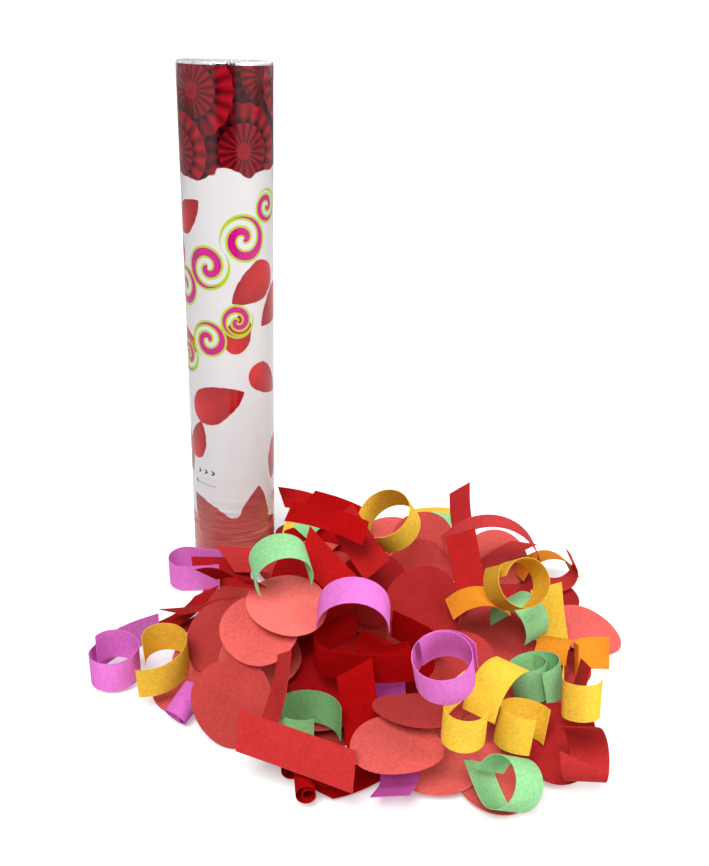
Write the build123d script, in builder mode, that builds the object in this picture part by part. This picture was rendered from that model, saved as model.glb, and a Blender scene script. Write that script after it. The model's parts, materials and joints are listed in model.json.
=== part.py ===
from build123d import *
import math
import os

os.makedirs("parts", exist_ok=True)

# A twist-to-fire confetti popper standing on its base, with a loose heap of its paper confetti
# beside it. All sizes are millimetres. The origin is the centre of the base on the floor, +Z runs
# up the barrel, and -Y is the side that the heap lies on.

# Barrel, grip and printed film
film_diameter = 50.0
film_thickness = 0.2
film_corner = 1.5
film_lip = 2.4
overall_height = 281.5
grip_height = 56.0
seam_gap = 0.4
tube_wall = 2.0
foil_thickness = 0.2
foil_skirt = 6.0
foil_show = 1.5
slip_gap = 0.1
glue_gap = 0.05

# Twist grip moulding and its end cam
twist_angle = 90.0
strike_travel = 6.0
floor_inset = 0.0
floor_thickness = 2.5
cup_wall = 2.0
flange_thickness = 2.5
cam_inner_radius = 8.0
cam_outer_radius = 13.0
cam_span = 145.0
cam_low_step = 3.0
cam_facets = 20
cam_gap = 0.2
foot_start = 5.0
foot_span = 45.0
rib_count = 8
rib_thickness = 1.6
rib_height = 6.0

# Breech housing: collar in the barrel, web, and spigot that the grip turns on
run_gap = 0.3
spigot_radius = 18.0
spigot_wall = 3.5
web_thickness = 4.0
collar_height = 26.0
collar_wall = 2.0
fin_count = 4
fin_thickness = 2.0
ring_width = 2.0
ring_groove = 1.6
ring_reach = 1.7
ring_opening = 9.0
key_width = 5.0
key_reach = 1.6
key_height = 7.0

# Striker: carrier, needle and return spring
carrier_thickness = 3.0
hub_radius = 4.0
hub_height = 10.0
needle_radius = 1.2
needle_seat = 8.0
needle_point = 3.5
needle_taper = 13.0
pierce_depth = 1.6
spring_radius = 7.0
spring_wire = 1.0
spring_turns = 6
spring_samples = 40

# Compressed-air bottle, its foil seal and crimped cap
web_to_cap = 1.5
cap_thickness = 0.6
cap_wall = 0.7
cap_opening = 3.6
seal_thickness = 0.4
lip_radius = 6.0
lip_height = 2.4
neck_radius = 5.2
neck_length = 6.0
neck_bore = 4.0
shoulder_height = 12.0
bottle_radius = 18.5
bottle_body = 42.0
dome_height = 5.0
dome_flat = 12.0
bottle_wall = 1.2

# Vent ring over the bottle, and the wad under the confetti
ring_depth = 12.0
vent_wall = 2.0
vent_spokes = 4
spoke_width = 5.0
spoke_thickness = 3.0
spoke_reach = 9.0
wad_thickness = 3.0
wad_chamfer = 0.5
rest_gap = 0.2

# Paper confetti: strips, petals, and the room that sheets keep between them
paper = 0.3
paper_gap = 0.35
strip_width = 17.0
petal_length = 42.0
petal_width = 39.0
petal_egg = 0.15
petal_tip = 12.0
petal_stations = 9
facet_turn = 24.0
least_facets = 3
curl_tightening = 0.85
flat_limit = 1e-6

# Loose heap: where it is looked at from, the cells it is settled on, and how a place is weighed
eye_x = 66.5
eye_y = -569.4
eye_z = 298.6
cell = 0.6
sample_step = 0.5
sample_margin = 0.2
tube_room = 2.0
push_step = 2.0
search_step = 2.0
search_top = 96.0
height_weight = 0.12
heap_front = -246.0
front_weight = 3.0
bed_bend = 26.0
bed_slope = 8.0
bed_facing_step = 70.0
bed_spin_step = 47.0

# Charge packed above the wad: tiers of streamer rolls, then petals curled round the bore
roll_turns = 4
roll_pitch = 1.6
roll_facet = 30.0
rolls_round = 3
petal_layers = 2
petals_round = 3
layer_pitch = 1.2

# Radii and heights that follow from these
film_radius = film_diameter / 2
film_bore = film_radius - film_thickness
skirt_radius = film_bore - slip_gap
skirt_bore = skirt_radius - foil_thickness
tube_radius = skirt_bore - slip_gap
bore_radius = tube_radius - tube_wall
plug_radius = bore_radius - glue_gap
film_offset = film_bore - tube_radius

grip_top = grip_height - seam_gap / 2
barrel_bottom = grip_height + seam_gap / 2
film_top = overall_height - foil_show
tube_top = overall_height - foil_thickness - slip_gap
floor_top = floor_inset + floor_thickness
cup_bore = plug_radius - cup_wall
cam_lead = strike_travel / twist_angle
cam_low = floor_top + cam_low_step
cam_high = cam_low + cam_lead * cam_span
carrier_bottom = cam_high + cam_low_step
carrier_top = carrier_bottom + carrier_thickness
spigot_bore = spigot_radius - spigot_wall
spigot_bottom = carrier_bottom - cam_low_step
web_bottom = barrel_bottom
web_top = web_bottom + web_thickness
collar_top = web_top + collar_height
collar_bore = plug_radius - collar_wall
ring_top = grip_top - flange_thickness - run_gap
cap_bottom = web_top + web_to_cap
seal_bottom = cap_bottom + cap_thickness
mouth = seal_bottom + seal_thickness
shoulder_low = mouth + neck_length
shoulder_high = shoulder_low + shoulder_height
bottle_shoulder = shoulder_high + bottle_body
bottle_top = bottle_shoulder + dome_height
vent_top = bottle_top + rest_gap + spoke_thickness
wad_bottom = vent_top + rest_gap
wad_top = wad_bottom + wad_thickness
tube_clear = film_radius + tube_room
charge_radius = bore_radius - run_gap
roll_radius = charge_radius / (1 + 2 / math.sqrt(3)) - paper_gap
roll_offset = charge_radius - roll_radius - paper_gap
roll_tier = strip_width + paper_gap


def radial_plane(degrees):
    """Plane through the axis: x runs outward at this angle and y runs up."""
    c = math.cos(math.radians(degrees))
    s = math.sin(math.radians(degrees))
    return Plane(origin=(0, 0, 0), x_dir=(c, s, 0), z_dir=(s, -c, 0))


# Spiral-wound card tube of the barrel
with BuildPart() as barrel_tube:
    with BuildSketch(Plane.XY.offset(barrel_bottom)):
        Circle(tube_radius)
        Circle(bore_radius, mode=Mode.SUBTRACT)
    extrude(amount=tube_top - barrel_bottom)
barrel_tube.part.label = "barrel_tube"
export_step(barrel_tube.part, "parts/barrel_tube.step")

# Printed film shrunk round the barrel, ending just below the foil's edge
with BuildPart() as barrel_film:
    with BuildSketch(Plane.XY.offset(barrel_bottom)):
        Circle(film_radius)
        Circle(film_bore, mode=Mode.SUBTRACT)
    extrude(amount=film_top - barrel_bottom)
barrel_film.part.label = "barrel_film"
export_step(barrel_film.part, "parts/barrel_film.step")

# Foil cover: a thin disc over the muzzle with its skirt tucked under the film
with BuildPart() as foil_cover:
    with BuildSketch(Plane.XZ):
        with BuildLine():
            Polyline(
                (0, overall_height - foil_thickness),
                (skirt_bore, overall_height - foil_thickness),
                (skirt_bore, overall_height - foil_skirt),
                (skirt_radius, overall_height - foil_skirt),
                (skirt_radius, overall_height),
                (0, overall_height),
                close=True,
            )
        make_face()
    revolve(axis=Axis.Z)
foil_cover.part.label = "foil_cover"
export_step(foil_cover.part, "parts/foil_cover.step")

# Card sleeve of the grip, cut from the same tube, with its lower edge chamfered inside the film
with BuildPart() as grip_sleeve:
    with BuildSketch(Plane.XY.offset(film_thickness + film_offset)):
        Circle(tube_radius)
        Circle(bore_radius, mode=Mode.SUBTRACT)
    extrude(amount=grip_top - film_thickness - film_offset)
    lower_edges = grip_sleeve.edges().group_by(Axis.Z)[0].sort_by(SortBy.RADIUS)
    chamfer(lower_edges[-1], film_corner - film_thickness - film_offset)
grip_sleeve.part.label = "grip_sleeve"
export_step(grip_sleeve.part, "parts/grip_sleeve.step")

# Printed film of the grip, shrunk round the lower corner and turned in under the base
with BuildPart() as grip_film:
    with BuildSketch(Plane.XZ):
        with BuildLine():
            lip_line = Line((film_radius - film_lip, 0), (film_radius - film_corner, 0))
            JernArc(lip_line @ 1, (1, 0), film_corner, 90)
            Polyline(
                (film_radius, film_corner),
                (film_radius, grip_top),
                (film_bore, grip_top),
                (film_bore, film_corner),
                (film_radius - film_corner, film_thickness),
                (film_radius - film_lip, film_thickness),
                lip_line @ 0,
            )
        make_face()
    revolve(axis=Axis.Z)
grip_film.part.label = "grip_film"
export_step(grip_film.part, "parts/grip_film.step")


def cam_sections(start, span, low, high_at):
    """Radial sections of a cam wall from height low to a height that changes along its span."""
    faces = []
    for step in range(cam_facets + 1):
        high = high_at(step / cam_facets)
        with BuildSketch(radial_plane(start + span * step / cam_facets)) as section:
            with Locations(((cam_inner_radius + cam_outer_radius) / 2, (low + high) / 2)):
                Rectangle(cam_outer_radius - cam_inner_radius, abs(high - low))
        faces.append(section.sketch.face())
    return faces


# Twist base: moulded cup glued in the grip, with two helical cam ramps on its ribbed floor and an
# inward flange that runs on the housing's spigot
with BuildPart() as twist_base:
    with BuildSketch(Plane.XZ):
        with BuildLine():
            Polyline(
                (0, floor_inset),
                (plug_radius, floor_inset),
                (plug_radius, grip_top),
                (spigot_radius + run_gap, grip_top),
                (spigot_radius + run_gap, grip_top - flange_thickness),
                (cup_bore, grip_top - flange_thickness),
                (cup_bore, floor_top),
                (0, floor_top),
                close=True,
            )
        make_face()
    revolve(axis=Axis.Z)
    for index in range(rib_count):
        with BuildSketch(radial_plane(360 / rib_count * index)):
            with Locations(((cam_outer_radius + cup_bore) / 2, floor_top + rib_height / 2)):
                Rectangle(cup_bore - cam_outer_radius + 2 * glue_gap, rib_height)
        extrude(amount=rib_thickness / 2, both=True)
    for start in (0, 180):
        ramp = cam_sections(
            start,
            cam_span,
            floor_top - glue_gap,
            lambda t: cam_low + cam_lead * cam_span * t,
        )
        loft(ramp, ruled=True)
twist_base.part.label = "twist_base"
export_step(twist_base.part, "parts/twist_base.step")

# Breech housing: collar glued in the barrel, web with the needle's hole, spigot with key slots and
# a ring groove, and four fins that cradle the bottle's shoulder
shoulder_slope = shoulder_height / (bottle_radius - neck_radius)
fin_root = lip_radius + cap_wall + 2 * run_gap
fin_low = shoulder_low + (fin_root - neck_radius) * shoulder_slope - run_gap
with BuildPart() as breech_housing:
    with BuildSketch(Plane.XZ):
        with BuildLine():
            Polyline(
                (needle_radius + run_gap, web_bottom),
                (spigot_bore, web_bottom),
                (spigot_bore, spigot_bottom),
                (spigot_radius, spigot_bottom),
                (spigot_radius, web_bottom),
                (plug_radius, web_bottom),
                (plug_radius, collar_top),
                (collar_bore, collar_top),
                (collar_bore, web_top),
                (needle_radius + run_gap, web_top),
                close=True,
            )
        make_face()
    revolve(axis=Axis.Z)
    with BuildSketch(Plane.XY.offset(ring_top)):
        Circle(spigot_radius)
        Circle(spigot_radius - ring_groove, mode=Mode.SUBTRACT)
    extrude(amount=-ring_width - run_gap, mode=Mode.SUBTRACT)
    with BuildSketch(Plane.XY.offset(spigot_bottom)):
        Rectangle(key_width + 2 * run_gap, 2 * (spigot_bore + key_reach + run_gap))
        Circle(spigot_bore - glue_gap, mode=Mode.SUBTRACT)
    extrude(amount=carrier_top + key_height + strike_travel - spigot_bottom, mode=Mode.SUBTRACT)
    for index in range(fin_count):
        with BuildSketch(radial_plane(360 / fin_count * (index + 0.5))):
            with BuildLine():
                Polyline(
                    (fin_root, web_top - glue_gap),
                    (collar_bore + glue_gap, web_top - glue_gap),
                    (collar_bore + glue_gap, collar_top),
                    (bottle_radius + run_gap, collar_top),
                    (bottle_radius + run_gap, shoulder_high),
                    (bottle_radius, shoulder_high - run_gap),
                    (fin_root, fin_low),
                    close=True,
                )
            make_face()
        extrude(amount=fin_thickness / 2, both=True)
breech_housing.part.label = "breech_housing"
export_step(breech_housing.part, "parts/breech_housing.step")

# Retaining ring: an open spring ring in the spigot's groove, under the grip's flange
with BuildPart() as retaining_ring:
    with BuildSketch(Plane.XY.offset(ring_top - ring_width - run_gap / 2)):
        Circle(spigot_radius + ring_reach)
        Circle(spigot_radius - ring_groove + glue_gap, mode=Mode.SUBTRACT)
        with Locations((spigot_radius, 0)):
            Rectangle(2 * (ring_groove + ring_reach), ring_opening, mode=Mode.SUBTRACT)
    extrude(amount=ring_width)
retaining_ring.part.label = "retaining_ring"
export_step(retaining_ring.part, "parts/retaining_ring.step")

# Striker carrier: keyed disc that rides the two ramps on helical feet, with a hub for the needle
with BuildPart() as striker_carrier:
    with BuildSketch(Plane.XY.offset(carrier_bottom)):
        Circle(spigot_bore - run_gap)
    extrude(amount=carrier_thickness)
    with BuildSketch(Plane.XY.offset(carrier_bottom)):
        Rectangle(key_width, 2 * (spigot_bore + key_reach))
        Circle(cam_outer_radius, mode=Mode.SUBTRACT)
    extrude(amount=key_height)
    with BuildSketch(Plane.XY.offset(carrier_top)):
        Circle(hub_radius)
    extrude(amount=hub_height)
    for start in (foot_start, 180 + foot_start):
        foot = cam_sections(
            start,
            foot_span,
            carrier_bottom + glue_gap,
            lambda t: cam_low + cam_gap + cam_lead * (foot_start + foot_span * t),
        )
        loft(foot, ruled=True)
    with Locations((0, 0, carrier_top + hub_height)):
        Hole(needle_radius + glue_gap, needle_seat)
striker_carrier.part.label = "striker_carrier"
export_step(striker_carrier.part, "parts/striker_carrier.step")

# Piercing needle, pressed into the carrier's hub, its point just short of the bottle's seal
needle_bottom = carrier_top + hub_height - needle_seat + glue_gap
needle_tip = mouth + pierce_depth - strike_travel
with BuildPart() as piercing_needle:
    with BuildSketch(Plane.XY.offset(needle_bottom)):
        Circle(needle_radius)
    extrude(amount=needle_tip - needle_point - needle_bottom)
    with BuildSketch(Plane.XY.offset(needle_tip - needle_point)):
        Circle(needle_radius)
    extrude(amount=needle_point, taper=needle_taper)
piercing_needle.part.label = "piercing_needle"
export_step(piercing_needle.part, "parts/piercing_needle.step")

# Return spring between the carrier and the web, swept on quarter-turn arcs
spring_low = carrier_top + spring_wire / 2 + glue_gap
spring_high = web_bottom - spring_wire / 2 - glue_gap


def spring_point(turn):
    angle = 2 * math.pi * turn
    height = spring_low + (spring_high - spring_low) * turn / spring_turns
    return Vector(spring_radius * math.cos(angle), spring_radius * math.sin(angle), height)


with BuildPart() as return_spring:
    with BuildLine() as spring_line:
        for quarter in range(4 * spring_turns):
            ThreePointArc(
                spring_point(quarter / 4),
                spring_point((quarter + 0.5) / 4),
                spring_point((quarter + 1) / 4),
            )
    with BuildSketch(Plane(spring_line.line @ 0, x_dir=(1, 0, 0), z_dir=spring_line.line % 0)):
        Rectangle(spring_wire, spring_wire)
    sweep()
return_spring.part.label = "return_spring"
export_step(return_spring.part, "parts/return_spring.step")
samples = [spring_point(i / spring_samples) for i in range(spring_samples * spring_turns + 1)]
spacing = min((a - b).length for i, a in enumerate(samples) for b in samples[i + spring_samples // 2:])
spring_gap = spacing - spring_wire * math.sqrt(2)
print("least gap between turns of the return spring:", round(spring_gap, 2))

# Compressed-air bottle, mouth down, with a lip for the crimped cap
inner_shoulder = bottle_wall * math.tan(math.atan(shoulder_slope) / 2)
with BuildPart() as air_bottle:
    with BuildSketch(Plane.XZ):
        with BuildLine():
            Polyline(
                (neck_bore, mouth),
                (lip_radius, mouth),
                (lip_radius, mouth + lip_height),
                (neck_radius, mouth + lip_height),
                (neck_radius, shoulder_low),
                (bottle_radius, shoulder_high),
                (bottle_radius, bottle_shoulder),
                (dome_flat, bottle_top),
                (0, bottle_top),
                (0, bottle_top - bottle_wall),
                (dome_flat - inner_shoulder, bottle_top - bottle_wall),
                (bottle_radius - bottle_wall, bottle_shoulder - inner_shoulder),
                (bottle_radius - bottle_wall, shoulder_high + inner_shoulder),
                (neck_bore, shoulder_low + inner_shoulder),
                close=True,
            )
        make_face()
    revolve(axis=Axis.Z)
air_bottle.part.label = "air_bottle"
export_step(air_bottle.part, "parts/air_bottle.step")

# Foil seal across the bottle's mouth
with BuildPart() as bottle_seal:
    with BuildSketch(Plane.XY.offset(seal_bottom)):
        Circle(lip_radius)
    extrude(amount=seal_thickness)
bottle_seal.part.label = "bottle_seal"
export_step(bottle_seal.part, "parts/bottle_seal.step")

# Cap crimped over the seal and the bottle's lip
with BuildPart() as crimp_cap:
    with BuildSketch(Plane.XZ):
        with BuildLine():
            Polyline(
                (cap_opening, cap_bottom),
                (lip_radius + cap_wall, cap_bottom),
                (lip_radius + cap_wall, mouth + lip_height + cap_wall + glue_gap),
                (neck_radius + glue_gap, mouth + lip_height + cap_wall + glue_gap),
                (neck_radius + glue_gap, mouth + lip_height + glue_gap),
                (lip_radius + glue_gap, mouth + lip_height + glue_gap),
                (lip_radius + glue_gap, seal_bottom),
                (cap_opening, seal_bottom),
                close=True,
            )
        make_face()
    revolve(axis=Axis.Z)
crimp_cap.part.label = "crimp_cap"
export_step(crimp_cap.part, "parts/crimp_cap.step")

# Vent ring glued in the barrel: spokes hold the bottle down and leave the gas four ways up
with BuildPart() as vent_ring:
    with BuildSketch(Plane.XY.offset(vent_top - ring_depth)):
        Circle(plug_radius)
        Circle(plug_radius - vent_wall, mode=Mode.SUBTRACT)
    extrude(amount=ring_depth)
    with BuildSketch(Plane.XY.offset(vent_top - spoke_thickness)):
        with PolarLocations(plug_radius - vent_wall / 2 - spoke_reach / 2, vent_spokes):
            Rectangle(spoke_reach, spoke_width)
    extrude(amount=spoke_thickness)
vent_ring.part.label = "vent_ring"
export_step(vent_ring.part, "parts/vent_ring.step")

# Card wad that the gas drives up the barrel
with BuildPart() as wad:
    with BuildSketch(Plane.XY.offset(wad_bottom)):
        Circle(bore_radius - run_gap)
    extrude(amount=wad_thickness)
    chamfer(wad.edges().filter_by(GeomType.CIRCLE), wad_chamfer)
wad.part.label = "wad"
export_step(wad.part, "parts/wad.step")


def ribbon(arcs, drift=0.0, skew=0.0, facet=facet_turn):
    """Edge pairs of a strip along arcs of (length, turn), its width along Z, its middle heading +Y.

    Drift lifts it along its own axis as it winds, and skew slants its ends.
    """
    x = 0.0
    y = 0.0
    heading = 0.0
    line = [(x, y, heading)]
    for length, turn in arcs:
        count = max(least_facets if len(arcs) == 1 else 1, round(abs(turn) / facet))
        half = math.radians(turn) / count / 2
        chord = length / count * (math.sin(half) / half if half else 1)
        for _ in range(count):
            heading += half
            x += chord * math.cos(heading)
            y += chord * math.sin(heading)
            heading += half
            line.append((x, y, heading))
    back = math.pi / 2 - heading / 2
    c = math.cos(back)
    s = math.sin(back)
    line = [(c * px - s * py, s * px + c * py, angle + back) for px, py, angle in line]
    middle_x = (max(point[0] for point in line) + min(point[0] for point in line)) / 2
    middle_y = (max(point[1] for point in line) + min(point[1] for point in line)) / 2
    last = len(line) - 1
    edges = []
    for i, (px, py, angle) in enumerate(line):
        lean = skew if i in (0, last) else 0.0
        chord_angle = angle + (half if i == 0 else -half)
        dx = lean * math.cos(chord_angle)
        dy = lean * math.sin(chord_angle)
        rise = drift * (i / last - 0.5)
        left = (px - middle_x - dx, py - middle_y - dy, rise - strip_width / 2)
        right = (px - middle_x + dx, py - middle_y + dy, rise + strip_width / 2)
        edges.append((left, right))
    return edges


def strip(length, bend, skew=3.0):
    """A short strip with a slight bend and slanted ends."""
    return ribbon([(length, bend)], skew=skew)


def arch(radius, turn):
    """A strip bent to one even curve."""
    return ribbon([(math.radians(abs(turn)) * radius, turn)])


def curl(radius, turn, drift=0.0, tightening=curl_tightening):
    """A strip wound up on itself, its second half tighter than its first."""
    half = math.radians(turn / 2) * radius
    return ribbon([(half, turn / 2), (half * tightening, turn / 2)], drift)


def petal(bend, width=petal_width):
    """Edge pairs of an egg-shaped petal bent along its length."""
    radius = petal_length / math.radians(bend)
    edges = []
    for i in range(petal_stations):
        angle = math.radians(petal_tip + (180 - 2 * petal_tip) * i / (petal_stations - 1))
        along = -petal_length / 2 * math.cos(angle) / radius
        half = width / 2 * math.sin(angle) * (1 + petal_egg * math.cos(angle))
        x = radius * math.sin(along)
        z = radius * (1 - math.cos(along))
        edges.append(((x, -half, z), (x, half, z)))
    return edges


def turned(point, facing, slope, spin):
    """A point turned in its own plane, tilted down towards +X, then faced round the vertical."""
    x, y, z = point
    c = math.cos(math.radians(spin))
    s = math.sin(math.radians(spin))
    x, y = c * x - s * y, s * x + c * y
    c = math.cos(math.radians(slope))
    s = math.sin(math.radians(slope))
    x, z = c * x + s * z, c * z - s * x
    c = math.cos(math.radians(facing))
    s = math.sin(math.radians(facing))
    return (c * x - s * y, s * x + c * y, z)


def between(start, end, part):
    """The point part of the way from start to end."""
    return tuple(a + (b - a) * part for a, b in zip(start, end))


def sheet_cells(edges):
    """Floor cells under a sheet, each with the sheet's lowest and highest point over it."""
    cells = {}
    margins = (-sample_margin, sample_margin)
    for (left, right), (next_left, next_right) in zip(edges, edges[1:]):
        rows = math.ceil(max(math.dist(left, next_left), math.dist(right, next_right)) / sample_step)
        columns = math.ceil(max(math.dist(left, right), math.dist(next_left, next_right)) / sample_step)
        for row in range(rows + 1):
            start = between(left, next_left, row / rows)
            end = between(right, next_right, row / rows)
            for column in range(columns + 1):
                x, y, z = between(start, end, column / columns)
                for dx in margins:
                    for dy in margins:
                        key = (math.floor((x + dx) / cell), math.floor((y + dy) / cell))
                        low, high = cells.get(key, (z, z))
                        cells[key] = (min(low, z), max(high, z))
    return cells


heap_cells = {}


def blocked_lifts(cells, column, row):
    """Lifts at which a sheet moved to this cell would meet the heap, or None where it meets the tube."""
    spans = []
    for (i, j), (low, high) in cells.items():
        under_cell = (i + column, j + row)
        if math.hypot(*under_cell) * cell < tube_clear:
            return None
        for under, over in heap_cells.get(under_cell, ()):
            spans.append((under - high - paper - paper_gap, over - low + paper + paper_gap))
    spans.sort()
    merged = []
    for low, high in spans:
        if merged and low <= merged[-1][1]:
            merged[-1][1] = max(high, merged[-1][1])
        else:
            merged.append([low, high])
    return merged


def settle(shape, place, wanted, facing, slope, spin):
    """Edge pairs of a sheet let down to rest in the heap, on the line of sight to a place on the floor.

    Heights up that line are tried, and the one kept falls least and rests nearest to the wanted height.
    With no wanted height the sheet is let down from above, over the place itself.
    """
    edges = [tuple(turned(point, facing, slope, spin) for point in edge) for edge in shape]
    cells = sheet_cells(edges)
    heights = [point[2] for edge in edges for point in edge]
    bottom = min(heights)
    middle = (bottom + max(heights)) / 2
    floor = paper_gap + paper / 2 - bottom
    tries = [search_step * step for step in range(1, round(search_top / search_step))]
    options = []
    push = 0.0
    while not options:
        away = 1 + push / math.hypot(*place)
        for height in tries if wanted is not None else [2 * search_top]:
            reach = height / eye_z if wanted is not None else 0.0
            x = place[0] * away + (eye_x - place[0]) * reach
            y = place[1] * away + (eye_y - place[1]) * reach
            if height - middle < floor - search_step:
                continue
            column = round(x / cell)
            row = round(y / cell)
            spans = blocked_lifts(cells, column, row)
            start = max(height - middle, floor)
            if spans is None or any(low < start < high for low, high in spans):
                continue
            rest = max([floor] + [high for low, high in spans if high <= start])
            miss = abs(rest + middle - wanted) if wanted is not None else 0.0
            forward = max(0.0, heap_front - y)
            options.append((start - rest + height_weight * miss + front_weight * forward, column, row, rest))
        push += push_step
    weight, column, row, rest = min(options)
    for (i, j), (low, high) in cells.items():
        heap_cells.setdefault((i + column, j + row), []).append((low + rest, high + rest))
    move = (column * cell, row * cell, rest)
    return [tuple(tuple(a + b for a, b in zip(point, move)) for point in edge) for edge in edges]


def flat_faces(corners):
    """One flat face through four corners, or two triangles where the corners aren't in one plane."""
    a, b, c, d = corners
    normal = (b - a).cross(c - a)
    if abs(normal.normalized().dot(d - a)) < flat_limit:
        return [Face(Wire.make_polygon(corners))]
    return [Face(Wire.make_polygon([a, b, c])), Face(Wire.make_polygon([a, c, d]))]


def sheet_solid(edges):
    """Paper of even thickness through a sheet's edge pairs, closed from flat faces."""
    rings = []
    for i, (left, right) in enumerate(edges):
        before = edges[max(i - 1, 0)]
        after = edges[min(i + 1, len(edges) - 1)]
        across = Vector(*right) - Vector(*left)
        along = Vector(*after[0]) + Vector(*after[1]) - Vector(*before[0]) - Vector(*before[1])
        half = along.cross(across).normalized() * (paper / 2)
        near = Vector(*left)
        far = Vector(*right)
        rings.append([near + half, far + half, far - half, near - half])
    faces = flat_faces(rings[0]) + flat_faces(rings[-1])
    for ring, after in zip(rings, rings[1:]):
        for k in range(4):
            following = (k + 1) % 4
            faces += flat_faces([ring[k], ring[following], after[following], after[k]])
    return Solid(Shell(faces))


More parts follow.
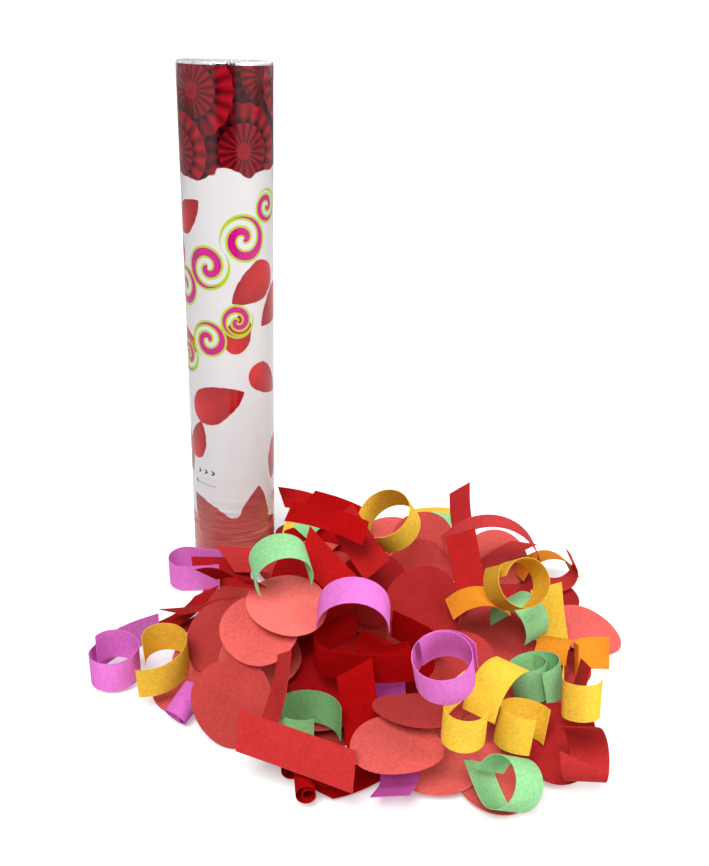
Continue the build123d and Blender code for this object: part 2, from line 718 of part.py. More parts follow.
# Loose heap in the order it was built up. A row is the node, the sheet's shape, the place on the floor
# that its middle is seen over, the height wanted for it (None lets it down from above at that place),
# and its facing, slope and spin.
bed_places = [
    (92, -88), (54, -112), (134, -108), (98, -140), (118, -54),
    (70, -66), (140, -165), (62, -172), (104, -180), (166, -128),
    (172, -170), (158, -70), (34, -88), (186, -62), (138, -196),
]
heap_rows = [
    ("loose_red_petals", petal(bed_bend), place, None, bed_facing_step * i, bed_slope, bed_spin_step * i)
    for i, place in enumerate(bed_places)
]
heap_rows += [
    # under the heap
    ("loose_red_strips", arch(17, -170), (84, -140), None, 160, 75, 10),
    ("loose_red_petals", petal(16), (58, -136), None, -95, 40, 30),
    ("loose_red_petals", petal(16), (62, -162), None, -80, 36, 10),
    ("loose_red_petals", petal(16), (152, -114), None, -70, 22, 50),
    ("loose_red_petals", petal(16), (126, -148), None, -100, 22, 0),
    ("loose_red_petals", petal(16), (60, -84), None, -90, 30, 20),
    # round the rim
    ("loose_red_petals", petal(10), (140, -213), 4, -90, 8, 0),
    ("loose_red_petals", petal(12), (112, -203), 5, -80, 10, 50),
    ("loose_red_petals", petal(-34), (170, -188), 10, -110, 26, 30),
    ("loose_red_petals", petal(-16), (204, -91), 6, -40, 14, 20),
    ("loose_red_petals", petal(24), (167, -4), 14, -80, 30, 20),
    ("loose_red_petals", petal(14), (52, 6), None, -110, 34, 10),
    ("loose_red_petals", petal(14), (-6, -154), 4, -130, 8, 40),
    # far side
    ("loose_yellow_streamers", strip(36, -50), (134, 48), 30, 85, 70, 0),
    ("loose_green_streamers", strip(24, 10), (141, 37), 30, 80, 40, 0),
    ("loose_red_strips", strip(34, 24, 1), (150, 62), 30, 40, 86, 80),
    ("loose_red_strips", strip(40, -30), (168, 0), 12, -60, 80, 20),
    ("loose_orange_streamers", arch(18, -150), (198, -5), 20, -80, 80, 0),
    ("loose_red_strips", ribbon([(70, -130), (14, -10), (40, 230)], -6), (178, 18), 34, -90, 88, 105),
    ("loose_red_petals", petal(20), (121, 12), 34, -80, 56, 10),
    ("loose_red_petals", petal(20), (117, -25), 34, -85, 52, 40),
    ("loose_red_petals", petal(14), (117, -63), 36, -80, 56, 20),
    ("loose_red_strips", strip(40, 10, 1), (146, -15), 40, 15, 84, 60),
    ("loose_red_petals", petal(20), (87, -44), 30, -90, 50, 0),
    ("loose_red_petals", petal(20), (47, -35), 25, -95, 50, 0),
    # left face
    ("loose_red_strips", strip(34, 50, 6), (-20, -78), 10, -60, 75, 25),
    ("loose_red_strips", strip(32, 30, 6), (-13, -68), 14, -80, 70, 10),
    ("loose_red_strips", strip(32, 30, 6), (-18, -95), 10, -60, 75, 6),
    ("loose_red_petals", petal(8), (16, -164), 20, -102, 58, 20),
    ("loose_red_petals", petal(14), (1, -127), 14, -115, 32, 60),
    ("loose_red_petals", petal(14), (3, -99), 20, -120, 34, 10),
    ("loose_red_petals", petal(12), (27, -121), 22, -105, 26, 80),
    ("loose_red_petals", petal(10), (24, -92), 44, -108, 26, 30),
    ("loose_red_petals", petal(8), (38, -66), 62, -80, 14, 15),
    ("loose_violet_streamers", ribbon([(46, 60), (34, 150), (40, 210)], 10), (-44, -110), 14, -80, 4, 40),
    ("loose_yellow_streamers", ribbon([(36, 110), (36, 190)], 6), (-26, -127), 14, -100, 8, 150),
    ("loose_violet_streamers", curl(6, 540, 0, 0.75), (-7, -162), 9, 55, 60, 100),
    ("loose_violet_streamers", ribbon([(24, 20), (34, 180), (20, 20)]), (-19, -30), 10, -90, 6, -90),
    ("loose_red_strips", strip(46, -40), (2, -41), 20, -150, 60, 20),
    ("loose_red_strips", strip(34, 30, 1.5), (-5, -30), 16, 90, 25, 0),
    ("loose_red_strips", strip(22, 20, 6), (7, -14), 14, 90, 60, 0),
    # front
    ("loose_red_strips", strip(30, 30, 4), (72, -219), 3, -60, 84, 0),
    ("loose_red_rolls", curl(4.5, 560, 0, 0.72), (47, -207), 5, -84, 86, 0),
    ("loose_red_rolls", curl(4.4, 600, 0, 0.7), (54, -214), 6, -84, 86, 60),
    ("loose_red_rolls", curl(4.4, 540, 0, 0.72), (62, -209), 6, -80, 86, 200),
    ("loose_red_strips", strip(40, 20, 3), (79, -169), 26, 10, 84, 62),
    ("loose_green_streamers", ribbon([(40, 150), (32, 150)]), (53, -175), 22, 90, 4, 60),
    ("loose_red_strips", strip(36, 20, 6), (37, -142), 26, -70, 88, 78),
    ("loose_red_strips", strip(54, 14, 2), (49, -196), 16, 62, 36, 10),
    ("loose_violet_streamers", ribbon([(18, 30), (28, 230)]), (94, -213), 8, -10, 76, 90),
    ("loose_red_petals", petal(-30, 34), (96, -192), 14, -95, 8, 95),
    ("loose_red_petals", petal(12), (107, -164), 18, 90, 14, 80),
    ("loose_yellow_streamers", ribbon([(30, 150), (24, 130)]), (156, -173), 27, 60, 12, 90),
    ("loose_green_streamers", ribbon([(20, 30), (58, 290)]), (144, -204), 16, -150, 62, 120),
    ("loose_yellow_streamers", ribbon([(28, 60), (30, 180)]), (131, -165), 20, -95, 4, -20),
    ("loose_yellow_streamers", arch(17, -120), (147, -143), 30, -40, 90, 30),
    # middle
    (
        "loose_red_strips",
        ribbon([(20, 10), (24, 120), (44, 40), (24, 120), (20, 10)]),
        (87, -107), 36, -90, 8, 0,
    ),
    ("loose_violet_streamers", strip(18, 10, 1), (93, -150), 24, 0, 84, 60),
    ("loose_red_strips", strip(40, 10, 6), (62, -26), 40, 40, 70, 30),
    ("loose_red_strips", strip(44, 20, 4), (83, -12), 44, 30, 70, -30),
    ("loose_violet_streamers", arch(17, -190), (76, -61), 44, -92, 104, 0),
    ("loose_violet_streamers", curl(14, 480, 6), (123, -124), 34, -118, 22, 20),
    # right
    ("loose_yellow_streamers", strip(36, 20, 1), (187, -75), 22, 10, 84, 66),
    ("loose_orange_streamers", arch(18, -110), (148, -59), 32, -80, 95, 0),
    ("loose_red_strips", ribbon([(38, 220), (24, 60)], skew=4), (183, -190), 22, -20, 75, 20),
    ("loose_yellow_streamers", ribbon([(20, 30), (26, 170)], skew=2), (190, -148), 36, -80, -14, -30),
    ("loose_orange_streamers", arch(13, 150), (200, -114), 10, 100, 20, 30),
    ("loose_green_streamers", curl(12.5, 504, 0, 0.75), (170, -134), 28, 150, 16, 20),
    ("loose_yellow_streamers", arch(14, -110), (46, 4), 20, -60, 95, 0),
    ("loose_green_streamers", arch(14, -240), (30, -20), 55, -75, 104, 10),
    ("loose_orange_streamers", arch(10, -120), (184, -106), 20, -30, 80, 20),
    ("loose_yellow_streamers", curl(14, 378), (174, -34), 44, -70, 56, 60),
    ("loose_green_streamers", arch(13, -230), (171, -66), 44, -140, 96, 0),
    ("loose_red_strips", strip(24, 50, 2), (161, -66), 44, 10, 86, 50),
    # top
    ("loose_yellow_streamers", arch(11, -150), (39, 33), 20, -30, 70, 20),
    ("loose_red_strips", strip(32, -40, 6), (41, 67), 40, 70, 70, 10),
    ("loose_yellow_streamers", ribbon([(46, 170), (40, 150)]), (100, 46), 50, -130, 40, 140),
    ("loose_red_strips", arch(34, -80), (54, 21), 44, -95, 98, 0),
    ("loose_green_streamers", strip(18, 10, 1), (47, 42), 46, 30, 60, 0),
    ("loose_red_strips", strip(46, -30), (57, 46), 50, 60, 78, 0),
    ("loose_red_strips", strip(46, -20), (64, 65), 50, 50, 78, 0),
    ("loose_red_strips", strip(50, 20, 4), (79, 17), 54, 20, 74, 10),
    # slipped into the gaps
    ("loose_red_strips", strip(26, 12, 2), (92, -112), 6, -100, 80, 20),
    ("loose_red_strips", strip(30, 12, 2), (104, -116), 6, -60, 84, 0),
    ("loose_red_strips", strip(30, 12, 2), (190, -142), 4, -90, 84, 80),
    ("loose_red_strips", strip(30, 12, 2), (52, -40), 8, -90, 70, 60),
    ("loose_red_petals", petal(14), (20, -104), 12, -110, 30, 20),
    ("loose_red_strips", strip(40, 30, 4), (66, 20), 20, 60, 60, 10),
    ("loose_red_petals", petal(14), (100, 10), 16, -90, 30, 10),
]
loose_sheets = {}
for node, shape, place, wanted, facing, slope, spin in heap_rows:
    loose_sheets.setdefault(node, []).append(settle(shape, place, wanted, facing, slope, spin))
for node, sheets in loose_sheets.items():
    with BuildPart() as loose:
        add([sheet_solid(edges) for edges in sheets])
    loose.part.label = node
    export_step(loose.part, f"parts/{node}.step")


def wrapped_petal(radius, angle, height):
    """Edge pairs of a petal curled round the barrel's axis."""
    edges = []
    for (x, low, z), (x, high, z) in petal(math.degrees(petal_length / radius)):
        turn = math.radians(angle) + math.asin(x / radius)
        point = (radius * math.cos(turn), radius * math.sin(turn))
        edges.append(((*point, height + low), (*point, height + high)))
    return edges


# Packed charge: streamer rolls standing on the wad in tiers of three, then petals curled round the bore
roll_nodes = [
    "packed_yellow_streamers",
    "packed_green_streamers",
    "packed_violet_streamers",
    "packed_orange_streamers",
    "packed_red_strips",
    "packed_yellow_streamers",
]
roll_arcs = [(math.pi * (roll_radius - roll_pitch / 2 * half), 180) for half in range(2 * roll_turns)]
charge_bottom = wad_top + paper_gap
packed_sheets = {}
for index, node in enumerate(roll_nodes):
    tier = index // rolls_round
    angle = math.radians(360 / rolls_round * (index + tier / 2))
    move = (
        roll_offset * math.cos(angle),
        roll_offset * math.sin(angle),
        charge_bottom + strip_width / 2 + roll_tier * tier,
    )
    roll = ribbon(roll_arcs, facet=roll_facet)
    edges = [tuple(tuple(a + b for a, b in zip(point, move)) for point in edge) for edge in roll]
    packed_sheets.setdefault(node, []).append(edges)
petals_bottom = charge_bottom + roll_tier * len(roll_nodes) / rolls_round
petal_pitch = petal_width + paper_gap
petal_tiers = int((tube_top - petals_bottom) / petal_pitch)
for tier in range(petal_tiers):
    height = petals_bottom + petal_width / 2 + petal_pitch * tier
    for layer in range(petal_layers):
        radius = charge_radius - paper_gap - layer_pitch * layer
        for index in range(petals_round):
            angle = 360 / petals_round * (index + layer / 2)
            packed_sheets.setdefault("packed_petals", []).append(wrapped_petal(radius, angle, height))
for node, sheets in packed_sheets.items():
    with BuildPart() as packed:
        add([sheet_solid(edges) for edges in sheets])
    packed.part.label = node
    export_step(packed.part, f"parts/{node}.step")
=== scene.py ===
import json
import math
import random
import bmesh
import bpy
from mathutils import Matrix, Vector, noise
from mathutils.bvhtree import BVHTree


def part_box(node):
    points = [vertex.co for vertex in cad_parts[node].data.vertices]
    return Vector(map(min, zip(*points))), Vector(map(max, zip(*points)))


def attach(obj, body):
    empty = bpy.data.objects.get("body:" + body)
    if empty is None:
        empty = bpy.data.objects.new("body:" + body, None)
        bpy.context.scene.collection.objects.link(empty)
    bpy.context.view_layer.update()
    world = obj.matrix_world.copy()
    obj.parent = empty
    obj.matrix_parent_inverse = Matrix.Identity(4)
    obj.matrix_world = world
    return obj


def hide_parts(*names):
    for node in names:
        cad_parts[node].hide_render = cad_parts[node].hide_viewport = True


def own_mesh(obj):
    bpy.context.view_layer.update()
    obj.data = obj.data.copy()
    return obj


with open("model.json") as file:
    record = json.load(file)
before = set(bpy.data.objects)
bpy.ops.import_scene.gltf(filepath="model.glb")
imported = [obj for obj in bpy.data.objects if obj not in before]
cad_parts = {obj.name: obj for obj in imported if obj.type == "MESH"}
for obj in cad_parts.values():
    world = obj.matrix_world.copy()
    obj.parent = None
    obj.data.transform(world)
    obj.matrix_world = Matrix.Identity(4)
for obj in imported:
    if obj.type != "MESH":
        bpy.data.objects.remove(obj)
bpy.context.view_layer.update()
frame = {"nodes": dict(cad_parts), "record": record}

scene = bpy.context.scene
scene.view_settings.view_transform = "Standard"

# The view: one camera a little over half a metre in front of the popper and just above the muzzle,
# tipped down so that the whole popper and its heap fill an upright frame.
frame_width = 709
frame_height = 866
focal_pixels = 1011.8
centre_pixels = (340.42, 522.85)
tip_down = math.radians(26.121)
roll = math.radians(1.715)
eye = Vector((0.066476, -0.569394, 0.298635))
forward = Vector((0, math.cos(tip_down), -math.sin(tip_down)))
level_right = Vector((1, 0, 0))
level_up = level_right.cross(forward)
right = level_right * math.cos(roll) + level_up * math.sin(roll)
up = level_up * math.cos(roll) - level_right * math.sin(roll)
camera_data = bpy.data.cameras.new("photo_view")
camera_data.sensor_fit = "HORIZONTAL"
camera_data.sensor_width = 36
camera_data.lens = camera_data.sensor_width * focal_pixels / frame_width
camera_data.shift_x = (frame_width / 2 - centre_pixels[0]) / frame_width
camera_data.shift_y = (centre_pixels[1] - frame_height / 2) / frame_width
camera_data.clip_start = 0.01
camera = bpy.data.objects.new("photo_view", camera_data)
camera.matrix_world = Matrix.Translation(eye) @ Matrix((right, up, -forward)).transposed().to_4x4()
scene.collection.objects.link(camera)
scene.camera = camera


# Card tubes and wad: spiral-wound grey-brown board, cut at the twist seam. The winding shows as faint
# slanting seams, and the board is fibrous and matt.
class Field:
    """A value that varies over a surface: plain sums on it become math nodes in its tree."""

    def __init__(self, tree, socket):
        self.tree = tree
        self.socket = socket

    def __add__(self, other):
        return calc(self.tree, "ADD", self, other)

    def __sub__(self, other):
        return calc(self.tree, "SUBTRACT", self, other)

    def __rsub__(self, other):
        return calc(self.tree, "SUBTRACT", other, self)

    def __mul__(self, other):
        return calc(self.tree, "MULTIPLY", self, other)

    def __truediv__(self, other):
        return calc(self.tree, "DIVIDE", self, other)

    def __pow__(self, other):
        return calc(self.tree, "POWER", self, other)

    def __abs__(self):
        return calc(self.tree, "ABSOLUTE", self)


def feed(tree, socket, value):
    if isinstance(value, Field):
        value = value.socket
    if isinstance(value, bpy.types.NodeSocket):
        tree.links.new(value, socket)
    else:
        socket.default_value = value


def calc(tree, operation, *terms):
    node = tree.nodes.new("ShaderNodeMath")
    node.operation = operation
    for socket, term in zip(node.inputs, terms):
        feed(tree, socket, term)
    return Field(tree, node.outputs[0])


def bearing(first, second):
    return calc(first.tree, "ARCTAN2", first, second)


def zigzag(value):
    return calc(value.tree, "PINGPONG", value, 0.5)


def ramp_to(value, low, high, start=0.0, end=1.0):
    node = value.tree.nodes.new("ShaderNodeMapRange")
    feed(value.tree, node.inputs["Value"], value)
    node.inputs["From Min"].default_value = low
    node.inputs["From Max"].default_value = high
    node.inputs["To Min"].default_value = start
    node.inputs["To Max"].default_value = end
    return Field(value.tree, node.outputs["Result"])


def tint(amount, under, over):
    node = amount.tree.nodes.new("ShaderNodeMix")
    node.data_type = "RGBA"
    factor, first, second, mixed = node.inputs[0], node.inputs[6], node.inputs[7], node.outputs[2]
    feed(amount.tree, factor, amount)
    feed(amount.tree, first, under if isinstance(under, Field) else (*under, 1))
    feed(amount.tree, second, over if isinstance(over, Field) else (*over, 1))
    return Field(amount.tree, mixed)


def place_on(tree, coordinates="Object"):
    split = tree.nodes.new("ShaderNodeSeparateXYZ")
    feed(tree, split.inputs[0], tree.nodes.new("ShaderNodeTexCoord").outputs[coordinates])
    return [Field(tree, socket) for socket in split.outputs]


def grain(tree, scale, detail, stretch=None):
    place = tree.nodes.new("ShaderNodeTexCoord").outputs["Object"]
    if stretch is not None:
        mapping = tree.nodes.new("ShaderNodeMapping")
        feed(tree, mapping.inputs["Scale"], stretch)
        feed(tree, mapping.inputs["Vector"], place)
        place = mapping.outputs["Vector"]
    node = tree.nodes.new("ShaderNodeTexNoise")
    feed(tree, node.inputs["Scale"], scale)
    node.inputs["Detail"].default_value = detail
    feed(tree, node.inputs["Vector"], place)
    return Field(tree, node.outputs["Fac"])


def new_surface(name, colour, roughness, metallic=0.0):
    material = bpy.data.materials.new(name)
    material.use_nodes = True
    tree = material.node_tree
    shader = tree.nodes["Principled BSDF"]
    shader.inputs["Base Color"].default_value = (*colour, 1)
    shader.inputs["Roughness"].default_value = roughness
    shader.inputs["Metallic"].default_value = metallic
    return material, tree, shader


def paint(shader, colour, roughness=None):
    feed(colour.tree, shader.inputs["Base Color"], colour)
    if roughness is not None:
        feed(roughness.tree, shader.inputs["Roughness"], roughness)


def raise_bump(shader, height, strength, distance):
    node = height.tree.nodes.new("ShaderNodeBump")
    node.inputs["Strength"].default_value = strength
    node.inputs["Distance"].default_value = distance
    feed(height.tree, node.inputs["Height"], height)
    feed(height.tree, shader.inputs["Normal"], node.outputs["Normal"])


def dress(material, *nodes):
    for node in nodes:
        mesh = frame["nodes"][node].data
        mesh.materials.clear()
        mesh.materials.append(material)


turns_per_metre = 14
seam_share = 0.02
card, tree, shader = new_surface("wound_card", (0.46, 0.36, 0.25), 0.85)
x, y, z = place_on(tree)
winding = bearing(x, y) / math.tau + z * turns_per_metre
board = tint(ramp_to(grain(tree, 900, 4), 0.35, 0.65), (0.40, 0.31, 0.21), (0.52, 0.42, 0.30))
paint(shader, tint(ramp_to(zigzag(winding), 0.0, seam_share), (0.27, 0.20, 0.13), board))
raise_bump(shader, grain(tree, 1500, 3), 0.3, 0.0002)
dress(card, "barrel_tube", "grip_sleeve", "wad")


# Firing parts inside the grip and breech: white injection mouldings with a fine satin skin, and a red
# carrier that rides the cam. They are snapped or glued together and never seen from outside.
def new_group(name, inputs, outputs, colours=()):
    group = bpy.data.node_groups.new(name, "ShaderNodeTree")
    for way, words in (("INPUT", inputs), ("OUTPUT", outputs)):
        for word in words:
            kind = "NodeSocketColor" if word in colours else "NodeSocketFloat"
            group.interface.new_socket(word, in_out=way, socket_type=kind)
    given = {socket.name: Field(group, socket) for socket in group.nodes.new("NodeGroupInput").outputs}
    return group, given, group.nodes.new("NodeGroupOutput").inputs


def put_group(tree, group, **values):
    node = tree.nodes.new("ShaderNodeGroup")
    node.node_tree = group
    for word, value in values.items():
        feed(tree, node.inputs[word.replace("_", " ")], value)
    return {socket.name: Field(tree, socket) for socket in node.outputs}


moulded_skin, given, result = new_group("moulded_skin", ["Blotch Scale"], ["Blotch", "Skin"])
feed(moulded_skin, result["Blotch"], grain(moulded_skin, given["Blotch Scale"], 2))
feed(moulded_skin, result["Skin"], grain(moulded_skin, 3000, 2))
for finish_name, base, roughness, blotch_scale, dull, bright, satin, nodes in [
    (
        "white_moulding", (0.80, 0.80, 0.77), 0.42, 60, (0.76, 0.76, 0.73), (0.83, 0.83, 0.81), (0.36, 0.50),
        ("twist_base", "breech_housing", "vent_ring"),
    ),
    (
        "red_moulding", (0.62, 0.05, 0.04), 0.40, 80, (0.56, 0.04, 0.035), (0.66, 0.06, 0.05), (0.34, 0.48),
        ("striker_carrier",),
    ),
]:
    moulding, tree, shader = new_surface(finish_name, base, roughness)
    skin = put_group(tree, moulded_skin, Blotch_Scale=blotch_scale)
    paint(shader, tint(skin["Blotch"], dull, bright), ramp_to(skin["Skin"], 0.3, 0.7, *satin))
    raise_bump(shader, skin["Skin"], 0.08, 0.0001)
    dress(moulding, *nodes)


# Drawn steel of the needle and the retaining ring: bright hard wire with fine draw lines, the needle
# pressed into the carrier and the ring sprung into its groove.
def vector_of(tree, x, y, z):
    node = tree.nodes.new("ShaderNodeCombineXYZ")
    for socket, value in zip(node.inputs, (x, y, z)):
        feed(tree, socket, value)
    return node.outputs[0]


metal_lines, given, result = new_group("metal_lines", ["Scale", "Stretch Round", "Stretch Up"], ["Lines"])
stretch = vector_of(metal_lines, given["Stretch Round"], given["Stretch Round"], given["Stretch Up"])
feed(metal_lines, result["Lines"], grain(metal_lines, given["Scale"], 3, stretch))


def lined_metal(name, base, roughness, scale, stretch_round, stretch_up, dull, bright, polish, depth):
    material, tree, shader = new_surface(name, base, roughness, 1.0)
    lined = put_group(tree, metal_lines, Scale=scale, Stretch_Round=stretch_round, Stretch_Up=stretch_up)
    lines = lined["Lines"]
    paint(shader, tint(lines, dull, bright), ramp_to(lines, 0.3, 0.7, *polish))
    raise_bump(shader, lines, depth, 0.0001)
    return material


drawn_steel = lined_metal(
    "drawn_steel", base=(0.56, 0.57, 0.58), roughness=0.3, scale=700, stretch_round=1, stretch_up=0.08,
    dull=(0.48, 0.49, 0.50), bright=(0.63, 0.64, 0.65), polish=(0.22, 0.42), depth=0.1,
)
dress(drawn_steel, "piercing_needle", "retaining_ring")


# Return spring: round steel wire coiled open, seated between the carrier and the breech web. The
# striker's stroke presses it shorter, towards the web.
def open_tree(name, output, sizes, counts=()):
    tree = bpy.data.node_groups.new(name, "GeometryNodeTree")
    for word in sizes:
        tree.interface.new_socket(word, in_out="INPUT", socket_type="NodeSocketFloat")
    for word in counts:
        tree.interface.new_socket(word, in_out="INPUT", socket_type="NodeSocketInt")
    tree.interface.new_socket("Finish", in_out="INPUT", socket_type="NodeSocketMaterial")
    tree.interface.new_socket(output, in_out="OUTPUT", socket_type="NodeSocketGeometry")
    return tree, {socket.name: Field(tree, socket) for socket in tree.nodes.new("NodeGroupInput").outputs}


def close_tree(tree, surface, finish):
    smooth = tree.nodes.new("GeometryNodeSetShadeSmooth")
    feed(tree, smooth.inputs["Geometry"], surface)
    realise = tree.nodes.new("GeometryNodeRealizeInstances")
    feed(tree, realise.inputs[0], smooth.outputs[0])
    coat = tree.nodes.new("GeometryNodeSetMaterial")
    feed(tree, coat.inputs["Geometry"], realise.outputs[0])
    feed(tree, coat.inputs["Material"], finish)
    feed(tree, tree.nodes.new("NodeGroupOutput").inputs[0], coat.outputs[0])


def grown_mesh(name, tree, values):
    grower = bpy.data.objects.new(name + "_grower", bpy.data.meshes.new(name + "_grower"))
    scene.collection.objects.link(grower)
    modifier = grower.modifiers.new("grow", "NODES")
    modifier.node_group = tree
    for socket in tree.interface.items_tree:
        if socket.in_out == "INPUT" and socket.name in values:
            modifier[socket.identifier] = values[socket.name]
    seen = bpy.context.evaluated_depsgraph_get()
    mesh = bpy.data.meshes.new_from_object(grower.evaluated_get(seen))
    bpy.data.objects.remove(grower)
    piece = bpy.data.objects.new(name, mesh)
    scene.collection.objects.link(piece)
    return piece


steps_per_turn = 48
wire_sides = 12
spring_tree, given = open_tree("coiled_wire", "Spring", ["Radius", "Wire", "Turns", "Bottom", "Rise"])
coil = spring_tree.nodes.new("GeometryNodeCurveSpiral")
coil.inputs["Resolution"].default_value = steps_per_turn
feed(spring_tree, coil.inputs["Rotations"], given["Turns"])
feed(spring_tree, coil.inputs["Start Radius"], given["Radius"])
feed(spring_tree, coil.inputs["End Radius"], given["Radius"])
feed(spring_tree, coil.inputs["Height"], given["Rise"])
raised = spring_tree.nodes.new("GeometryNodeTransform")
feed(spring_tree, raised.inputs["Geometry"], coil.outputs[0])
feed(spring_tree, raised.inputs["Translation"], vector_of(spring_tree, 0, 0, given["Bottom"]))
wire = spring_tree.nodes.new("GeometryNodeCurvePrimitiveCircle")
wire.inputs["Resolution"].default_value = wire_sides
feed(spring_tree, wire.inputs["Radius"], given["Wire"] / 2)
swept = spring_tree.nodes.new("GeometryNodeCurveToMesh")
swept.inputs["Fill Caps"].default_value = True
feed(spring_tree, swept.inputs["Curve"], raised.outputs[0])
feed(spring_tree, swept.inputs["Profile Curve"], wire.outputs[0])
close_tree(spring_tree, swept.outputs[0], given["Finish"])
spring_low, spring_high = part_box("return_spring")
spring_height = spring_high[2] - spring_low[2]
wire_thickness = 0.001
end_room = 0.6 * wire_thickness
coil_spring = grown_mesh("coil_spring", spring_tree, {
    "Radius": 0.007, "Wire": wire_thickness, "Turns": 6.0, "Bottom": spring_low[2] + end_room,
    "Rise": spring_height - 2 * end_room, "Finish": drawn_steel,
})
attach(coil_spring, "barrel")
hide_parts("return_spring")
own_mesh(coil_spring)

# Compressed-air bottle with its crimped cap and foil seal: impact-extruded aluminium, turned bright,
# standing mouth down over the needle.
turned_aluminium = lined_metal(
    "turned_aluminium", base=(0.74, 0.75, 0.76), roughness=0.32, scale=500, stretch_round=0.05, stretch_up=1,
    dull=(0.66, 0.67, 0.68), bright=(0.80, 0.81, 0.82), polish=(0.25, 0.45), depth=0.12,
)
dress(turned_aluminium, "air_bottle", "crimp_cap", "bottle_seal")


# Printed film: glossy clear-coated plastic shrunk round the barrel and, below the twist seam, round the
# grip, where it has puckered into flat wrinkles and is turned in under the base. The print is laid out
# in millimetres round the tube and up from the floor.
def root(value):
    return calc(value.tree, "SQRT", value)


def lesser(first, second):
    return calc(first.tree, "MINIMUM", first, second)


def greater(first, second):
    return calc(first.tree, "MAXIMUM", first, second)


film_radius = 0.025
film_wall = 0.0002
seam_reach = 0.00017
millimetres = 1000

label_place, _, result = new_group("label_place", [], ["Around", "Up"])
x, y, z = place_on(label_place)
feed(label_place, result["Around"], bearing(x, y * -1) * (film_radius * millimetres))
feed(label_place, result["Up"], z * millimetres)

petal_fullness = 0.86
petal_raggedness = 0.3
print_petal, given, result = new_group(
    "print_petal",
    ["Around", "Up", "Centre Around", "Centre Up", "Turn", "Length", "Width"],
    ["Mask", "Along", "Across"],
)
dx = given["Around"] - given["Centre Around"]
dy = given["Up"] - given["Centre Up"]
turn = calc(print_petal, "RADIANS", given["Turn"])
cosine = calc(print_petal, "COSINE", turn)
sine = calc(print_petal, "SINE", turn)
along = (dx * cosine + dy * sine) / (given["Length"] / 2)
across = (dy * cosine - dx * sine) / (given["Width"] / 2)
blunt_end = greater(1 - along, 0) ** 0.5
pointed_end = greater(along + 1, 0) ** 0.85
ragged = (grain(print_petal, 160, 2) - 0.5) * petal_raggedness + 1
inside = blunt_end * pointed_end * petal_fullness * ragged - abs(across)
feed(print_petal, result["Mask"], ramp_to(inside, 0.005, 0.04))
feed(print_petal, result["Along"], along)
feed(print_petal, result["Across"], across)

scallop_depth = 0.05
pleated_fan, given, result = new_group(
    "pleated_fan",
    ["Around", "Up", "Centre Around", "Centre Up", "Radius", "Pleats"],
    ["Mask", "Shade", "Shadow"],
)
dx = given["Around"] - given["Centre Around"]
dy = given["Up"] - given["Centre Up"]
reach = root(dx * dx + dy * dy) / given["Radius"]
pleat = zigzag(bearing(dy, dx) * (given["Pleats"] / math.tau)) * 2
inner = ramp_to(reach, 0.56, 0.57, 1.0, 0.0)
core = ramp_to(reach, 0.17, 0.18, 1.0, 0.0)
fold = pleat * (1 - inner) + (1 - pleat) * inner
tier_shadow = ramp_to(reach, 0.57, 0.72, 0.4, 0.0) * (1 - inner)
shade = fold * 0.50 + ramp_to(reach, 0.0, 1.0, 0.08, 0.45) - tier_shadow + core * 0.25
feed(pleated_fan, result["Mask"], ramp_to(1 - pleat * scallop_depth - reach, 0.0, 0.02))
feed(pleated_fan, result["Shade"], greater(shade, 0) ** 1.5)
feed(pleated_fan, result["Shadow"], ramp_to(reach, 0.95, 1.35, 0.85, 0.0))

wavy_band, given, result = new_group(
    "wavy_band",
    ["Around", "Up", "Base", "Slope", "Swing", "Wavelength", "Phase", "Width", "From", "To"],
    ["Mask"],
)
wave = calc(wavy_band, "DIVIDE", math.tau, given["Wavelength"])
sweep = given["Around"] * wave + given["Phase"]
line = given["Base"] + given["Slope"] * given["Around"] + given["Swing"] * calc(wavy_band, "SINE", sweep)
steep = given["Swing"] * wave * calc(wavy_band, "COSINE", sweep) + given["Slope"]
apart = abs(given["Up"] - line) / root(steep * steep + 1)
within = lesser(given["Around"] - given["From"], given["To"] - given["Around"])
feed(wavy_band, result["Mask"], ramp_to(lesser(given["Width"] / 2 - apart, within), 0.0, 0.3))

party_spiral, given, result = new_group(
    "party_spiral",
    ["Around", "Up", "Centre Around", "Centre Up", "Radius", "Pitch", "Turn", "Stroke", "Border Width"],
    ["Body", "Border"],
)
dx = given["Around"] - given["Centre Around"]
dy = given["Up"] - given["Centre Up"]
reach = root(dx * dx + dy * dy)
arm = reach / given["Pitch"] - (bearing(dy, dx) / math.tau + given["Turn"])
taper = ramp_to(reach / given["Radius"], 0.0, 1.0, 0.75, 1.0)
stroke_in = given["Stroke"] / 2 * taper - zigzag(arm) * given["Pitch"]
stroke_in = lesser(stroke_in, given["Radius"] - reach)
feed(party_spiral, result["Body"], ramp_to(stroke_in, 0.0, 0.25))
feed(party_spiral, result["Border"], ramp_to(stroke_in + given["Border Width"], 0.0, 0.25))

chevron, given, result = new_group(
    "chevron", ["Around", "Up", "Centre Around", "Centre Up", "Height", "Arm", "Points"], ["Mask"],
)
rise = abs(given["Up"] - given["Centre Up"])
run = (given["Around"] - given["Centre Around"]) * given["Points"] + rise
band = lesser(lesser(run, given["Arm"] - run), given["Height"] / 2 - rise)
feed(chevron, result["Mask"], ramp_to(band, 0.0, 0.12))


def strew_petals(label, spot, petals, base_depth, tip_depth, rim_depth, pattern, dark, pale):
    for centre_around, centre_up, turn, length, width in petals:
        petal = put_group(
            label.tree, print_petal, Centre_Around=centre_around, Centre_Up=centre_up, Turn=turn,
            Length=length, Width=width, **spot,
        )
        depth = ramp_to(petal["Along"], -1.0, 1.0, base_depth, tip_depth) + pattern
        depth = depth - abs(petal["Across"]) * rim_depth
        label = tint(petal["Mask"], label, tint(depth, dark, pale))
    return label


